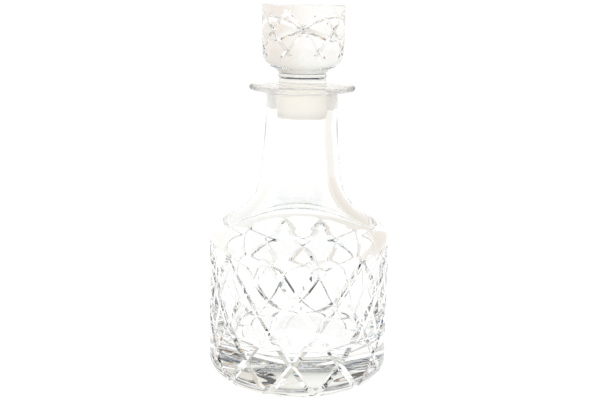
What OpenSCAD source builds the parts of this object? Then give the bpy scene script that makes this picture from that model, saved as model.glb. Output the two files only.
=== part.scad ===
// Cut-glass wine decanter with a ground-in stopper, millimetres, +Z up.
// The origin is the centre of the face that the decanter stands on.

/* [Body] */
// Outer diameter of the cylindrical wall
body_d = 116; // [112:1:120]
// Height where the lines of the wall and of the shoulder meet
wall_h = 98.2; // [97:0.1:100]
// Slope of the shoulder, in degrees above the horizontal
shoulder_slope = 30; // [28:1:32]
// Rounding of the bottom edge
foot_r = 13; // [12:0.5:14]
// Rounding between the wall and the shoulder
shoulder_r = 12; // [11:0.5:13]
// Thickness of the glass in the shoulder
shoulder_t = 6.5; // [6:0.5:7]
// Thickness of the wall at its top
top_wall_t = 6; // [5.5:0.5:6.5]
// Thickness that the wall would have level with the floor of the hollow
foot_wall_t = 14; // [12:0.5:15]
// Thickness of the solid base
base_t = 24; // [20:1:28]

/* [Neck] */
// Outer diameter of the straight part of the neck
neck_d = 45.8; // [44:0.2:47]
// Diameter of the bore through the neck
bore_d = 32.2; // [31:0.1:33]
// Hollow rounding where the shoulder runs up into the neck
neck_fillet_r = 34; // [30:1:38]
// Diameter of the lip
lip_d = 67.2; // [64:0.2:70]
// Height of the top of the lip
lip_z = 190.2; // [188:0.2:192]
// Thickness of the lip at its edge
lip_t = 3.2; // [2.8:0.1:3.6]

/* [Ground joint] */
// Length of the ground seat inside the neck
seat_len = 13.4; // [12:0.2:15]
// How far the plug reaches below the top of the lip
plug_len = 20.4; // [19:0.2:22]
// Change of diameter per length of the joint
joint_taper = 0.1; // [0.08:0.01:0.12]
// Running clearance between plug and seat, on the radius
joint_gap = 0.06; // [0.04:0.01:0.08]

/* [Stopper] */
// Height of the top of the knob
stopper_z = 240; // [238:0.5:244]
// Diameter of the knob
knob_d = 52; // [50:0.5:54]
// Height of the knob
knob_h = 39.6; // [38:0.2:41]
// Rounding of the bottom edge of the knob
knob_r = 14; // [13:0.5:15]
// Diameter of the shank in the grooves above and below its ring
shank_d = 29.2; // [28.8:0.2:29.6]
// Diameter of the ring round the shank
ring_d = 31.4; // [31:0.2:31.8]

/* [Cut pattern] */
// Cuts of each hand around the body
body_cuts = 12; // [11:1:13]
// Depth of a cut in the body
body_cut_depth = 1.7; // [1.5:0.05:1.8]
// Tilt of the cuts in the body, in degrees above the horizontal
body_cut_tilt = 54.9; // [53:0.1:57]
// Height of the middle row of crossings on the body
body_row_z = 45; // [43:0.5:47]
// Height where the cuts in the body end, a little above the top row of crossings
body_cut_top = 88; // [87:0.5:89]
// Cuts of each hand around the knob
knob_cuts = 8; // [7:1:9]
// Depth of a cut in the knob
knob_cut_depth = 1.2; // [1:0.05:1.3]
// Tilt of the cuts in the knob, in degrees above the horizontal
knob_cut_tilt = 51.5; // [50:0.1:53]
// How far the stopper is turned in its seat, in degrees
stopper_turn = 3; // [0:1:45]

/* [Hidden] */

body_r = body_d / 2;
neck_r = neck_d / 2;
bore_r = bore_d / 2;
lip_r = lip_d / 2;
knob_wall_r = knob_d / 2;
shank_r = shank_d / 2;
ring_r = ring_d / 2;
hollow_top_r = body_r - top_wall_t;
hollow_foot_r = body_r - foot_wall_t;

// Radii where the straight lines of the shoulder and of the neck would meet, outside and inside
outer_meet_r = 27.5;
inner_meet_r = 20.2;
// Heights where the neck becomes a straight tube, outside and inside
neck_straight_z = 165;
bore_straight_z = 161;
// Very wide rounding that eases the neck into its straight tube
neck_ease_r = 120;
// How much wider the hollow rounding is on the inside of the neck
inner_fillet_more = 7;
// Roundings inside the hollow: at the floor and at the shoulder
floor_r = 12;
inner_shoulder_r = 18;
// Rounding of the edge of the lip, and of the corner under it
lip_edge_r = 1.5;
under_lip_r = 3;
under_lip_rise = 0.6;
// Width and height of the bevel at the mouth, and how far its tool runs out above the lip
mouth_bevel = 1.2;
mouth_drop = 1;
run_out = 0.2;

function shoulder_z(r) = wall_h + (body_r - r) * tan(shoulder_slope);
function inner_shoulder_z(r) = shoulder_z(r) - shoulder_t / cos(shoulder_slope);

// Radius of the ground seat and of the plug at a height
seat_top_z = lip_z - mouth_drop;
seat_end_z = seat_top_z - seat_len;
function seat_r(z) = bore_r + (z - seat_end_z) * joint_taper / 2;
function plug_r(z) = seat_r(z) - joint_gap;

// Stopper, from its plug up to its knob
plug_end_z = lip_z - plug_len;
plug_drop = 0.6;
plug_top_z = lip_z - plug_drop;
plug_edge_r = 1.5;
collar_r = shank_r + 0.5;
collar_rise = 0.8;
collar_bevel = 0.8;
knob_z = stopper_z - knob_h;
// The ring is a rounded ridge between two grooves, below the flat of the knob
ring_h = 3.2;
ring_drop = 4.4;
ring_z = knob_z - ring_drop;
ring_edge_r = 0.6;
groove_r = 1.2;
small_edge_r = 0.5;
top_edge_r = 1;
// The rounded bottom edge of the knob stops short of the level at this angle
knob_edge_end = 62;
knob_edge_z = knob_z + knob_r * sin(knob_edge_end);
knob_flat_r = knob_wall_r - knob_r * (1 - cos(knob_edge_end));
knob_edge_reach = knob_r * tan(knob_edge_end / 2);
knob_row_z = 212.3;
knob_cut_top = 236.6;

// Half of the angle between the two faces of a cut
cut_half_angle = 57;
// How far the cutting wheel stands out of the glass
wheel_reach = 4;
// How far each straight stretch of a cut runs past its ends
cut_overlap = 0.8;
// Straight stretches of a cut on a wall, and around a rounded edge
wall_stretches = 4;
edge_stretches = 3;
// Angle round the rounded edge where a cut goes straight on, and how far it then goes
body_cut_end = 80;
knob_cut_end = 12;
straight_end = 8;

// Straight stretches that draw a rounded corner of an outline
arc_steps = 10;
round_fn = 180;

function unit(v) = v / norm(v);

// Points of the arc that rounds the corner b, between a and c, with radius r
function rounded(a, b, c, r) =
    let (
        u = unit(a - b),
        v = unit(c - b),
        half = acos(u * v) / 2,
        centre = b + unit(u + v) * r / sin(half),
        start = b + u * r / tan(half) - centre,
        end = b + v * r / tan(half) - centre,
        from = atan2(start[1], start[0]),
        sweep = (atan2(end[1], end[0]) - from + 540) % 360 - 180
    )
    [for (i = [0 : arc_steps])
        let (angle = from + sweep * i / arc_steps)
        centre + r * [cos(angle), sin(angle)]];

// Outline through [radius, height, rounding] corners
function outline(corners) =
    let (n = len(corners), at = [for (c = corners) [c[0], c[1]]])
    [for (i = [0 : n - 1])
        each (corners[i][2] == 0
            ? [at[i]]
            : rounded(at[i - 1], at[i], at[(i + 1) % n], corners[i][2]))];

// Point of a cut, in the tilted plane that holds it: the distance out along the plane's
// level line, and the distance up its slope
function on_plane(r, rise, tilt) =
    let (slope_way = rise / sin(tilt))
    [sqrt(r * r - pow(slope_way * cos(tilt), 2)), slope_way];

// Bottom line of a cut: down a wall of radius r, then around the rounded edge below it
function cut_line(r, row_z, top, edge_z, edge_r, edge_end, tilt, depth) = [
    for (i = [0 : wall_stretches])
        on_plane(r - depth, top + (edge_z - top) * i / wall_stretches - row_z, tilt),
    for (i = [1 : edge_stretches])
        let (angle = edge_end * i / edge_stretches, reach = edge_r - depth)
        on_plane(r - edge_r + reach * cos(angle), edge_z - reach * sin(angle) - row_z, tilt)
];

// Straight V cut from point a to point b of the XY plane, open to the left of its way
module v_cut(a, b, before, after) {
    way = b - a;
    half_w = wheel_reach * tan(cut_half_angle);
    translate(a)
        rotate([0, 0, atan2(way[1], way[0])])
            translate([-before, 0, 0])
                rotate([90, 0, 90])
                    linear_extrude(height = norm(way) + before + after)
                        polygon([[0, 0], [wheel_reach, -half_w], [wheel_reach, half_w]]);
}

// Cuts of both hands, crossing each other around the glass
module crossing_cuts(count, turn, row_z, tilt, line) {
    last = len(line) - 2;
    for (i = [0 : count - 1], hand = [0, 1])
        rotate([0, 0, turn + i * 360 / count])
            mirror([0, hand, 0])
                translate([0, 0, row_z])
                    rotate([tilt, 0, 0])
                        for (k = [0 : last])
                            v_cut(line[k], line[k + 1], cut_overlap, k == last ? straight_end : cut_overlap);
}

module decanter_body() {
    outside = [
        [0, 0, 0],
        [body_r, 0, foot_r],
        [body_r, wall_h, shoulder_r],
        [outer_meet_r, shoulder_z(outer_meet_r), neck_fillet_r],
        [neck_r, neck_straight_z, neck_ease_r],
        [neck_r, lip_z - lip_t - under_lip_rise, under_lip_r],
        [lip_r, lip_z - lip_t, lip_edge_r],
        [lip_r, lip_z, lip_edge_r],
        [0, lip_z, 0]
    ];
    hollow = [
        [0, base_t, 0],
        [hollow_foot_r, base_t, floor_r],
        [hollow_top_r, inner_shoulder_z(hollow_top_r), inner_shoulder_r],
        [inner_meet_r, inner_shoulder_z(inner_meet_r), neck_fillet_r + inner_fillet_more],
        [bore_r, bore_straight_z, neck_ease_r],
        [bore_r, seat_end_z, 0],
        [seat_r(seat_top_z), seat_top_z, 0],
        [seat_r(seat_top_z) + mouth_bevel, lip_z + run_out, 0],
        [0, lip_z + run_out, 0]
    ];
    line = cut_line(body_r, body_row_z, body_cut_top, foot_r, foot_r, body_cut_end,
                    body_cut_tilt, body_cut_depth);
    color([0.92, 0.95, 0.94, 0.5])
        difference() {
            rotate_extrude($fn = round_fn) polygon(outline(outside));
            rotate_extrude($fn = round_fn) polygon(outline(hollow));
            crossing_cuts(body_cuts, 180 / body_cuts - 90, body_row_z, body_cut_tilt, line);
        }
}

module stopper() {
    outside = [
        [0, plug_end_z, 0],
        [plug_r(plug_end_z), plug_end_z, plug_edge_r],
        [plug_r(plug_top_z), plug_top_z, small_edge_r],
        [collar_r, plug_top_z + collar_rise, small_edge_r],
        [collar_r, ring_z - ring_h / 2 - collar_bevel, small_edge_r],
        [shank_r, ring_z - ring_h / 2, small_edge_r],
        [ring_r, ring_z, ring_edge_r],
        [shank_r, ring_z + ring_h / 2, groove_r],
        [knob_flat_r, knob_z, 0],
        [knob_wall_r, knob_edge_z - knob_edge_reach, knob_r],
        [knob_wall_r, stopper_z, top_edge_r],
        [0, stopper_z, 0]
    ];
    line = cut_line(knob_wall_r, knob_row_z, knob_cut_top, knob_edge_z, knob_r, knob_cut_end,
                    knob_cut_tilt, knob_cut_depth);
    color([0.95, 0.96, 0.95, 0.5])
        rotate([0, 0, stopper_turn])
            difference() {
                rotate_extrude($fn = round_fn) polygon(outline(outside));
                crossing_cuts(knob_cuts, 180 / knob_cuts - 90, knob_row_z, knob_cut_tilt, line);
            }
}

decanter_body();
stopper();
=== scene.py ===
"""Looks of a cut-glass wine decanter with a ground-in stopper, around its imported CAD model."""

import math

import bpy
from mathutils import Matrix, Vector


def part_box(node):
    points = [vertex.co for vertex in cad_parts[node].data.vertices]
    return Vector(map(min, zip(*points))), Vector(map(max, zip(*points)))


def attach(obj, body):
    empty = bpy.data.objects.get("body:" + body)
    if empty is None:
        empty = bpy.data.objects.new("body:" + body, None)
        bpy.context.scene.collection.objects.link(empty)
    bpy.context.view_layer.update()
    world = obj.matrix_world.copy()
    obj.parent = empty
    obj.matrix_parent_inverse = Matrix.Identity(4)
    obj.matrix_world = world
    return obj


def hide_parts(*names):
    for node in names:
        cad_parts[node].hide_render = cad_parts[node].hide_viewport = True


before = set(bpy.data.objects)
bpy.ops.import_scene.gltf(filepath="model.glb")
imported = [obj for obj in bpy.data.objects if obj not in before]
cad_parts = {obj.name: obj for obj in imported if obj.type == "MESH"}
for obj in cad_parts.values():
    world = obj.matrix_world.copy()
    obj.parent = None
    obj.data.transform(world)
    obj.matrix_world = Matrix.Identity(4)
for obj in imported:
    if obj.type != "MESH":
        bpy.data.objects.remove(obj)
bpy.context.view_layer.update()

MM = 0.001

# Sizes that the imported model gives, in millimetres.
BODY_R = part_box("decanter_body")[1].x / MM
LIP_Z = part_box("decanter_body")[1].z / MM
KNOB_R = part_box("stopper")[1].x / MM
PLUG_END_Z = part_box("stopper")[0].z / MM
TOP_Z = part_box("stopper")[1].z / MM

# The decanter's own sizes, in millimetres and degrees, as its CAD source has them.
SHOULDER_SLOPE = math.radians(30)
WALL_H = 98.2
SHOULDER_T = 6.5
TOP_WALL_T = 6.0
FOOT_WALL_T = 14.0
BASE_T = 24.0
FOOT_R = 13.0
SHOULDER_R = 12.0
HOLLOW_SHOULDER_R = 18.0
HOLLOW_FOOT_R = 12.0
NECK_R = 22.9
BORE_R = 16.1
LIP_R = 33.6
LIP_T = 3.2
NECK_FILLET_R = 34.0
OUTER_MEET_R = 27.5
INNER_MEET_R = 20.2
NECK_STRAIGHT_Z = 165.0
BORE_STRAIGHT_Z = 161.0
NECK_EASE_R = 120.0
INNER_FILLET_MORE = 7.0
UNDER_LIP_R = 3.0
UNDER_LIP_RISE = 0.6
LIP_EDGE_R = 1.5
MOUTH_BEVEL = 1.2
MOUTH_DROP = 1.0
MOUTH_EDGE_R = 0.6
SEAT_LEN = 13.4
SEAT_FOOT = 0.3
JOINT_TAPER = 0.1
JOINT_GAP = 0.06
# Where the plain upper wall takes over from the rows of the cut zone.
UPPER_WALL_Z = 91.0
# Radii of two rings of the flat underside.
UNDERSIDE_RINGS = (20.0, 38.0)

# The stopper's own sizes.
KNOB_H = 39.6
KNOB_EDGE_R = 14.0
KNOB_EDGE_END = math.radians(62)
KNOB_FLAT_R = KNOB_R - KNOB_EDGE_R * (1 - math.cos(KNOB_EDGE_END))
SHANK_R = 14.6
COLLAR_R = 15.1
RING_R = 15.7
RING_H = 3.2
RING_DROP = 4.4
RING_EDGE_R = 0.6
GROOVE_R = 1.2
PLUG_DROP = 0.6
PLUG_EDGE_R = 1.5
COLLAR_RISE = 0.8
COLLAR_BEVEL = 0.8
SMALL_EDGE_R = 0.5
TOP_EDGE_R = 1.0
# Where the plain rim of the knob starts, measured down from its top.
RIM_H = 2.6
STOPPER_TURN = 3.0

SEAT_TOP_Z = LIP_Z - MOUTH_DROP
SEAT_END_Z = SEAT_TOP_Z - SEAT_LEN
PLUG_TOP_Z = LIP_Z - PLUG_DROP
KNOB_Z = TOP_Z - KNOB_H
RING_Z = KNOB_Z - RING_DROP

POLISHED, GROUND = 0, 1

# Brightness of the studio's white walls and floor.
LIGHT = 1.1


def shoulder_z(r):
    """Height of the straight part of the shoulder at a radius, outside."""
    return WALL_H + (BODY_R - r) * math.tan(SHOULDER_SLOPE)


def inner_shoulder_z(r):
    """The same on the inside of the glass."""
    return shoulder_z(r) - SHOULDER_T / math.cos(SHOULDER_SLOPE)


def seat_r(z):
    """Radius of the ground seat at a height."""
    return BORE_R + (z - SEAT_END_Z) * JOINT_TAPER / 2


def plug_r(z):
    """Radius of the ground plug at a height."""
    return seat_r(z) - JOINT_GAP


def rounded(a, b, c, r, step=6.0):
    """Points of the arc of radius r that rounds the corner b between a and c."""
    a, b, c = Vector(a), Vector(b), Vector(c)
    u, v = (a - b).normalized(), (c - b).normalized()
    half = u.angle(v) / 2
    centre = b + (u + v).normalized() * r / math.sin(half)
    start = b + u * r / math.tan(half) - centre
    end = b + v * r / math.tan(half) - centre
    sweep = (math.atan2(end.y, end.x) - math.atan2(start.y, start.x) + math.pi) % math.tau - math.pi
    count = max(3, round(math.degrees(abs(sweep)) / step))
    return [tuple(centre + Matrix.Rotation(sweep * i / count, 2) @ start) for i in range(count + 1)]


def outline(corners):
    """Outline through (radius, height, rounding) corners."""
    points = []
    for i, (r, z, rounding) in enumerate(corners):
        if rounding:
            points += rounded(corners[i - 1][:2], (r, z), corners[i + 1][:2], rounding)
        else:
            points.append((r, z))
    return points


class Cuts:
    """V cuts of both hands around a wall. Each lies in a tilted plane through a point on the
    axis, so it is a straight line when the height is written as an angle, as climb() does."""

    # Grid steps from one crossing to the next, and from a cut's bottom line to its edge.
    split = 12
    width = 2

    def __init__(self, count, wall_r, row_z, tilt, edge_r, edge_z, flat_z, depth):
        """count is the number of cuts of each hand; row_z is the height of a row of crossings."""
        split = self.split
        self.step = math.pi / count / split
        self.columns = 2 * count * split
        self.wall_r = wall_r
        self.row_z = row_z
        self.tilt = math.radians(tilt)
        self.edge_r = edge_r                # rounded edge below the wall, from edge_z down
        self.edge_z = edge_z
        self.flat_z = flat_z                # flat face under the rounded edge
        self.depth = depth

    def climb(self, r, z):
        """Angle around the axis by which a cut has turned at this radius and height."""
        return math.asin(max(-1, min(1, (z - self.row_z) / (r * math.tan(self.tilt)))))

    def place(self, climb):
        """(radius, height, outward direction) on the uncut glass where the climb is this."""
        z = self.row_z + self.wall_r * math.tan(self.tilt) * math.sin(climb)
        if z >= self.edge_z:
            return self.wall_r, z, (1.0, 0.0)
        inner = self.wall_r - self.edge_r
        low, high = 0.0, math.asin(min(1, (self.edge_z - self.flat_z) / self.edge_r))
        r, z = inner + self.edge_r * math.cos(high), self.edge_z - self.edge_r * math.sin(high)
        if self.climb(r, z) > climb:
            r = (self.flat_z - self.row_z) / (math.tan(self.tilt) * math.sin(climb))
            return r, self.flat_z, (0.0, -1.0)
        for _ in range(50):
            angle = (low + high) / 2
            r = inner + self.edge_r * math.cos(angle)
            z = self.edge_z - self.edge_r * math.sin(angle)
            if self.climb(r, z) > climb:
                low = angle
            else:
                high = angle
        return r, z, (math.cos(angle), -math.sin(angle))

    def dip(self, column, row):
        """Depth of the cuts here. Half steps are the middles of the grid's cells."""
        period = 2 * self.split
        away = [abs((column + way * row) % period - self.split) for way in (1, -1)]
        return self.depth * max(0.0, 1 - min(away) / self.width)


def turned_glass(name, rows, cuts, turn, materials):
    """A closed turned mesh. rows run from the bottom of the axis up the outside and back down
    the inside. A row is ("plain", r, z, material) or ("cut", step, fade)."""
    verts, faces, slots = [], [], []
    columns = cuts.columns

    def vertex(column, row):
        """Index of a new vertex at this column of the row, or of a cell's middle."""
        angle = -math.pi / 2 + turn + column * math.tau / columns
        if row[0] == "plain":
            r, z = row[1], row[2]
        else:
            r, z, out = cuts.place(row[1] * cuts.step)
            dip = cuts.dip(column, row[1]) * row[2]
            r, z = r - out[0] * dip, z - out[1] * dip
        verts.append((r * math.cos(angle) * MM, r * math.sin(angle) * MM, z * MM))
        return len(verts) - 1

    def ring(row):
        """Indices of a row's vertices: one on the axis, or a whole turn."""
        if row[0] == "plain" and row[1] == 0:
            return [vertex(0, row)]
        return [vertex(column, row) for column in range(columns)]

    rings = [ring(row) for row in rows]
    for row, above, low, high in zip(rows, rows[1:], rings, rings[1:]):
        slot = row[3] if row[0] == "plain" else POLISHED
        for j in range(columns):
            k = (j + 1) % columns
            if len(low) == 1:
                made = [(low[0], high[k], high[j])]
            elif len(high) == 1:
                made = [(low[j], low[k], high[0])]
            elif row[0] == "cut" and above[0] == "cut":
                middle = vertex(j + 0.5, ("cut", (row[1] + above[1]) / 2, (row[2] + above[2]) / 2))
                loop = (low[j], low[k], high[k], high[j])
                made = [(loop[i], loop[(i + 1) % 4], middle) for i in range(4)]
            else:
                made = [(low[j], low[k], high[k], high[j])]
            faces += made
            slots += [slot] * len(made)
    mesh = bpy.data.meshes.new(name)
    mesh.from_pydata(verts, [], faces)
    mesh.polygons.foreach_set("material_index", slots)
    for material in materials:
        mesh.materials.append(material)
    mesh.polygons.foreach_set("use_smooth", [True] * len(faces))
    mesh.set_sharp_from_angle(angle=math.radians(18))
    mesh.validate()
    obj = bpy.data.objects.new(name, mesh)
    bpy.context.scene.collection.objects.link(obj)
    return obj


def plain(points, material=POLISHED):
    """Plain rows through the points of an outline."""
    return [("plain", r, z, material) for r, z in points]


def cut_rows(first, bottom, top, run_in, run_out):
    """Rows from step first up to step top, with cuts above step bottom. The cuts start to fade
    run_in steps above the bottom and run_out steps below the top, as a wheel leaves the glass."""
    return [("cut", i, max(0.0, min(1.0, (i - bottom) / run_in, (top - i) / run_out)))
            for i in range(first, top + 1)]


def decanter_rows():
    """Rows of the decanter: underside, cut wall, shoulder, neck, lip, seat and hollow."""
    outside = outline([
        (BODY_R, UPPER_WALL_Z, 0),
        (BODY_R, WALL_H, SHOULDER_R),
        (OUTER_MEET_R, shoulder_z(OUTER_MEET_R), NECK_FILLET_R),
        (NECK_R, NECK_STRAIGHT_Z, NECK_EASE_R),
        (NECK_R, LIP_Z - LIP_T - UNDER_LIP_RISE, UNDER_LIP_R),
        (LIP_R, LIP_Z - LIP_T, LIP_EDGE_R),
        (LIP_R, LIP_Z, LIP_EDGE_R),
        (seat_r(SEAT_TOP_Z) + MOUTH_BEVEL, LIP_Z, MOUTH_EDGE_R),
        (seat_r(SEAT_TOP_Z), SEAT_TOP_Z, 0),
    ])
    hollow = outline([
        (BORE_R, SEAT_END_Z - SEAT_FOOT, 0),
        (BORE_R, BORE_STRAIGHT_Z, NECK_EASE_R),
        (INNER_MEET_R, inner_shoulder_z(INNER_MEET_R), NECK_FILLET_R + INNER_FILLET_MORE),
        (BODY_R - TOP_WALL_T, inner_shoulder_z(BODY_R - TOP_WALL_T), HOLLOW_SHOULDER_R),
        (BODY_R - FOOT_WALL_T, BASE_T, HOLLOW_FOOT_R),
        (0, BASE_T, 0),
    ])
    return (
        plain([(0, 0)] + [(r, 0) for r in UNDERSIDE_RINGS])
        + cut_rows(-37, -37, 27, 1, 3)
        + plain(outside[:-1])
        + plain(outside[-1:] + [(BORE_R, SEAT_END_Z)], GROUND)
        + plain(hollow)
    )


def stopper_rows():
    """Rows of the stopper: ground plug, shank with its ring, cut knob and its flat top."""
    plug = outline([
        (0, PLUG_END_Z, 0),
        (plug_r(PLUG_END_Z), PLUG_END_Z, PLUG_EDGE_R),
        (plug_r(PLUG_TOP_Z), PLUG_TOP_Z, SMALL_EDGE_R),
        (COLLAR_R, PLUG_TOP_Z + COLLAR_RISE, 0),
    ])[:-1]
    shank = outline([
        (COLLAR_R, PLUG_TOP_Z + COLLAR_RISE, 0),
        (COLLAR_R, RING_Z - RING_H / 2 - COLLAR_BEVEL, SMALL_EDGE_R),
        (SHANK_R, RING_Z - RING_H / 2, SMALL_EDGE_R),
        (RING_R, RING_Z, RING_EDGE_R),
        (SHANK_R, RING_Z + RING_H / 2, GROOVE_R),
        (KNOB_FLAT_R, KNOB_Z, 0),
    ])
    rim = outline([(KNOB_R, TOP_Z - RIM_H, 0), (KNOB_R, TOP_Z, TOP_EDGE_R), (0, TOP_Z, 0)])
    return plain(plug, GROUND) + plain(shank) + cut_rows(-17, -6, 26, 6, 2) + plain(rim)


def noise_bump(nodes, links, shader, scale, strength, distance, detail=2.0):
    """Bumps of a given size, in metres, on a shader."""
    place = nodes.new("ShaderNodeTexCoord")
    noise = nodes.new("ShaderNodeTexNoise")
    noise.inputs["Scale"].default_value = scale
    noise.inputs["Detail"].default_value = detail
    links.new(place.outputs["Object"], noise.inputs["Vector"])
    bump = nodes.new("ShaderNodeBump")
    bump.inputs["Strength"].default_value = strength
    bump.inputs["Distance"].default_value = distance
    links.new(noise.outputs["Fac"], bump.inputs["Height"])
    links.new(bump.outputs["Normal"], shader.inputs["Normal"])
    return noise


def glass(name, colour, rough, scale, strength, distance):
    """Glass with bumps, and a roughness that varies between two values."""
    material = bpy.data.materials.new(name)
    material.use_nodes = True
    nodes, links = material.node_tree.nodes, material.node_tree.links
    shader = nodes["Principled BSDF"]
    shader.inputs["Base Color"].default_value = (*colour, 1)
    shader.inputs["Transmission Weight"].default_value = 1.0
    shader.inputs["IOR"].default_value = 1.54
    noise = noise_bump(nodes, links, shader, scale, strength, distance)
    spread = nodes.new("ShaderNodeMapRange")
    spread.inputs["To Min"].default_value, spread.inputs["To Max"].default_value = rough
    links.new(noise.outputs["Fac"], spread.inputs["Value"])
    links.new(spread.outputs["Result"], shader.inputs["Roughness"])
    return material


def ground_glass_with_painted_glow():
    """Finely ground glass: pale ivory and rough, so it spreads the light that it takes in, with a
    faint painted glow that stands in for that spread light.
    """
    material = glass("ground_glass_with_painted_glow", (1.0, 0.985, 0.95), (0.35, 0.5), 2500, 0.3, 0.0001)
    shader = material.node_tree.nodes["Principled BSDF"]
    shader.inputs["Transmission Weight"].default_value = 0.75
    # Painted glow: a faint ivory emission stands in for the light that the ground glass scatters;
    # it is no lamp.
    shader.inputs["Emission Color"].default_value = (1, 0.97, 0.91, 1)
    shader.inputs["Emission Strength"].default_value = 0.14
    return material


def ramp(nodes, links, value, stops):
    """Colour that follows a value through (position, colour) stops."""
    node = nodes.new("ShaderNodeValToRGB")
    elements = node.color_ramp.elements
    for element, (position, colour) in zip(elements, (stops[0], stops[-1])):
        element.position = position
        element.color = (*colour, 1)
    for position, colour in stops[1:-1]:
        elements.new(position).color = (*colour, 1)
    links.new(value, node.inputs["Fac"])
    return node.outputs["Color"]


def blend(nodes, links, how, one, other):
    """Two colours blended channel by channel."""
    mix = nodes.new("ShaderNodeMix")
    mix.data_type = "RGBA"
    mix.blend_type = how
    mix.inputs[0].default_value = 1.0
    links.new(one, mix.inputs[6])
    links.new(other, mix.inputs[7])
    return mix.outputs[2]


def studio_world():
    """A white studio, grey overhead and dark above the camera's side. The dark has the thin
    coloured edges that cut crystal gives to the edge of a light."""
    world = bpy.data.worlds.new("studio")
    bpy.context.scene.world = world
    world.use_nodes = True
    nodes, links = world.node_tree.nodes, world.node_tree.links
    nodes.clear()
    way = nodes.new("ShaderNodeTexCoord")
    halved = nodes.new("ShaderNodeVectorMath")
    halved.operation = "MULTIPLY_ADD"
    halved.inputs[1].default_value = (0.5, 0.5, 0.5)
    halved.inputs[2].default_value = (0.5, 0.5, 0.5)
    links.new(way.outputs["Generated"], halved.inputs[0])
    split = nodes.new("ShaderNodeSeparateXYZ")
    links.new(halved.outputs[0], split.inputs[0])
    white, dark = (1, 1, 1), (0.01, 0.01, 0.012)
    near_floor = ramp(nodes, links, split.outputs["Z"], [
        (0.50, white), (0.52, (1, 0.9, 0.6)), (0.55, (0.8, 0.45, 0.15)), (0.6, (0.06, 0.04, 0.03)),
        (0.63, dark)])
    away = ramp(nodes, links, split.outputs["Y"], [
        (0.25, dark), (0.33, (0.02, 0.08, 0.28)), (0.41, (0.35, 0.65, 0.95)), (0.47, white)])
    ceiling = ramp(nodes, links, split.outputs["Z"], [
        (0.455, white), (0.475, (0.95, 0.93, 0.91)), (0.55, (0.92, 0.9, 0.875)),
        (0.66, (0.88, 0.88, 0.85)),
        (0.75, (0.78, 0.78, 0.74)), (0.85, (0.6, 0.62, 0.58)), (0.95, (0.3, 0.31, 0.3))])
    above_floor = ramp(nodes, links, split.outputs["Z"], [(0.38, white), (0.42, (0, 0, 0))])
    right = ramp(nodes, links, split.outputs["X"], [(0.42, white), (0.66, (0.87, 0.83, 0.79))])
    sides = blend(nodes, links, "LIGHTEN", near_floor, away)
    warm = blend(nodes, links, "LIGHTEN", above_floor, right)
    walls = blend(nodes, links, "DARKEN", sides, ceiling)
    lights = nodes.new("ShaderNodeBackground")
    lights.inputs["Strength"].default_value = LIGHT
    links.new(blend(nodes, links, "MULTIPLY", walls, warm), lights.inputs["Color"])
    seen = nodes.new("ShaderNodeBackground")
    seen.inputs["Color"].default_value = (1, 1, 1, 1)
    seen.inputs["Strength"].default_value = LIGHT
    path = nodes.new("ShaderNodeLightPath")
    choose = nodes.new("ShaderNodeMixShader")
    links.new(path.outputs["Is Camera Ray"], choose.inputs[0])
    links.new(lights.outputs[0], choose.inputs[1])
    links.new(seen.outputs[0], choose.inputs[2])
    out = nodes.new("ShaderNodeOutputWorld")
    links.new(choose.outputs[0], out.inputs["Surface"])


def pale_floor():
    """A plain white floor, lit as brightly as the walls."""
    mesh = bpy.data.meshes.new("floor")
    half, right = 3.0, 0.5
    mesh.from_pydata([(-half, -half, 0), (right, -half, 0), (right, half, 0), (-half, half, 0)],
                     [], [(0, 1, 2, 3)])
    floor = bpy.data.objects.new("floor", mesh)
    bpy.context.scene.collection.objects.link(floor)
    material = bpy.data.materials.new("floor_white")
    material.use_nodes = True
    shader = material.node_tree.nodes["Principled BSDF"]
    shader.inputs["Base Color"].default_value = (0.0, 0.0, 0.0, 1)
    shader.inputs["Roughness"].default_value = 1.0
    shader.inputs["Emission Color"].default_value = (1, 1, 1, 1)
    shader.inputs["Emission Strength"].default_value = LIGHT
    mesh.materials.append(material)
    floor.location.z = -0.0002


def photo_camera():
    """The camera level with the top of the stopper, looking down at the decanter."""
    distance, height = 0.640, 0.2496
    azimuth, pitch, roll = math.radians(3), math.radians(11.81), math.radians(1.15)
    camera = bpy.data.objects.new("camera", bpy.data.cameras.new("camera"))
    bpy.context.scene.collection.objects.link(camera)
    camera.data.sensor_width = 36
    camera.data.lens = 60.7
    camera.data.clip_start = 0.01
    camera.matrix_world = (
        Matrix.Rotation(azimuth, 4, "Z")
        @ Matrix.Translation((0, -distance, height))
        @ Matrix.Rotation(math.pi / 2 - pitch, 4, "X")
        @ Matrix.Rotation(roll, 4, "Z")
    )
    bpy.context.scene.camera = camera


def look_settings():
    scene = bpy.context.scene
    scene.view_settings.view_transform = "Standard"
    scene.cycles.use_denoising = True
    scene.cycles.max_bounces = 32
    scene.cycles.transmission_bounces = 32
    scene.cycles.glossy_bounces = 16


body_cuts = Cuts(count=12, wall_r=BODY_R, row_z=45.0, tilt=54.9, edge_r=FOOT_R, edge_z=FOOT_R,
                 flat_z=0.0, depth=1.7)
knob_cuts = Cuts(count=8, wall_r=KNOB_R, row_z=212.3, tilt=51.5, edge_r=KNOB_EDGE_R,
                 edge_z=KNOB_Z + KNOB_EDGE_R * math.sin(KNOB_EDGE_END), flat_z=KNOB_Z, depth=1.2)

crystal = glass("cut_crystal", (0.985, 0.99, 0.985), (0.0, 0.02), 60, 0.05, 0.0004)
ground = ground_glass_with_painted_glow()

decanter = turned_glass("decanter_glass", decanter_rows(), body_cuts, 0.0, [crystal, ground])
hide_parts("decanter_body")
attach(decanter, "decanter")

stopper = turned_glass("stopper_glass", stopper_rows(), knob_cuts,
                       math.radians(STOPPER_TURN), [crystal, ground])
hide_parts("stopper")
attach(stopper, "stopper")

studio_world()
pale_floor()
photo_camera()
look_settings()
